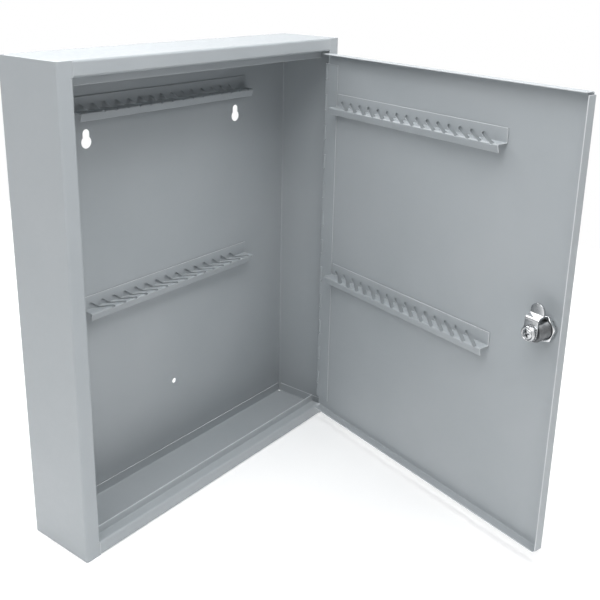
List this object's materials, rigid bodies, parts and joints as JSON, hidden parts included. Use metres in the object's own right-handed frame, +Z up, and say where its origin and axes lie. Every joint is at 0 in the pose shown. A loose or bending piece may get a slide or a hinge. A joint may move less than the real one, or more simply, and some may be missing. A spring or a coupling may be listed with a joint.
{
  "type": "key cabinet",
  "caption": "Wall-hung sheet-steel key cabinet: box with a hinged, cam-locked door and slotted key racks on its back and door.",
  "frame": {"origin": "centre of the back face, on the wall plane", "axes": "+Y into the wall, the front faces -Y, +Z up, +X to the right as seen from the front"},
  "size_m": [0.355, 0.3837, 0.435],
  "materials": {
    "painted_steel": "light grey powder coat, satin",
    "hinge_steel": "light grey powder coat, satin, over a rolled hinge",
    "lock_chrome": "bright nickel-chrome plating",
    "zinc_steel": "bright zinc plate",
    "spring_steel": "plain drawn wire",
    "wafer_brass": "stamped brass"
  },
  "bodies": {
    "case": {"wrapper": "painted_steel", "top_pan": "painted_steel", "bottom_pan": "painted_steel", "key_rack_back_upper": "painted_steel", "key_rack_back_lower": "painted_steel", "hinge_leaf_frame": "hinge_steel", "hinge_pin": "zinc_steel"},
    "door": {"door_pan": "painted_steel", "hinge_leaf_door": "hinge_steel", "key_rack_door_upper": "painted_steel", "key_rack_door_lower": "painted_steel", "lock_body": "lock_chrome", "lock_washer": "zinc_steel", "lock_nut": "lock_chrome"},
    "plug": {"lock_plug": "lock_chrome", "lock_cam": "zinc_steel", "cam_washer": "zinc_steel", "cam_screw": "zinc_steel", "wafer_spring_1": "spring_steel", "wafer_spring_2": "spring_steel", "wafer_spring_3": "spring_steel", "wafer_spring_4": "spring_steel", "wafer_spring_5": "spring_steel"},
    "wafer_1": {"wafer_1": "wafer_brass"},
    "wafer_2": {"wafer_2": "wafer_brass"},
    "wafer_3": {"wafer_3": "wafer_brass"},
    "wafer_4": {"wafer_4": "wafer_brass"},
    "wafer_5": {"wafer_5": "wafer_brass"}
  },
  "joints": [
    {"name": "door_hinge", "type": "hinge", "parent": "case", "child": "door", "pos_m": [0.1599, -0.07435, 0], "axis": [0, 0, 1], "range_deg": [-75, 100]},
    {"name": "lock_turn", "type": "hinge", "parent": "door", "child": "plug", "pos_m": [0.08207, -0.36346, 0.004], "axis": [-0.9659, 0.2588, 0], "range_deg": [-90, 0]},
    {"name": "wafer_1_slide", "type": "slide", "parent": "plug", "child": "wafer_1", "axis": [0, 0, 1], "range_m": [0, 0.001], "stiffness_N_per_m": 40, "deforming": ["wafer_spring_1"]},
    {"name": "wafer_2_slide", "type": "slide", "parent": "plug", "child": "wafer_2", "axis": [0, 0, 1], "range_m": [0, 0.001], "stiffness_N_per_m": 40, "deforming": ["wafer_spring_2"]},
    {"name": "wafer_3_slide", "type": "slide", "parent": "plug", "child": "wafer_3", "axis": [0, 0, 1], "range_m": [0, 0.001], "stiffness_N_per_m": 40, "deforming": ["wafer_spring_3"]},
    {"name": "wafer_4_slide", "type": "slide", "parent": "plug", "child": "wafer_4", "axis": [0, 0, 1], "range_m": [0, 0.001], "stiffness_N_per_m": 40, "deforming": ["wafer_spring_4"]},
    {"name": "wafer_5_slide", "type": "slide", "parent": "plug", "child": "wafer_5", "axis": [0, 0, 1], "range_m": [0, 0.001], "stiffness_N_per_m": 40, "deforming": ["wafer_spring_5"]}
  ]
}
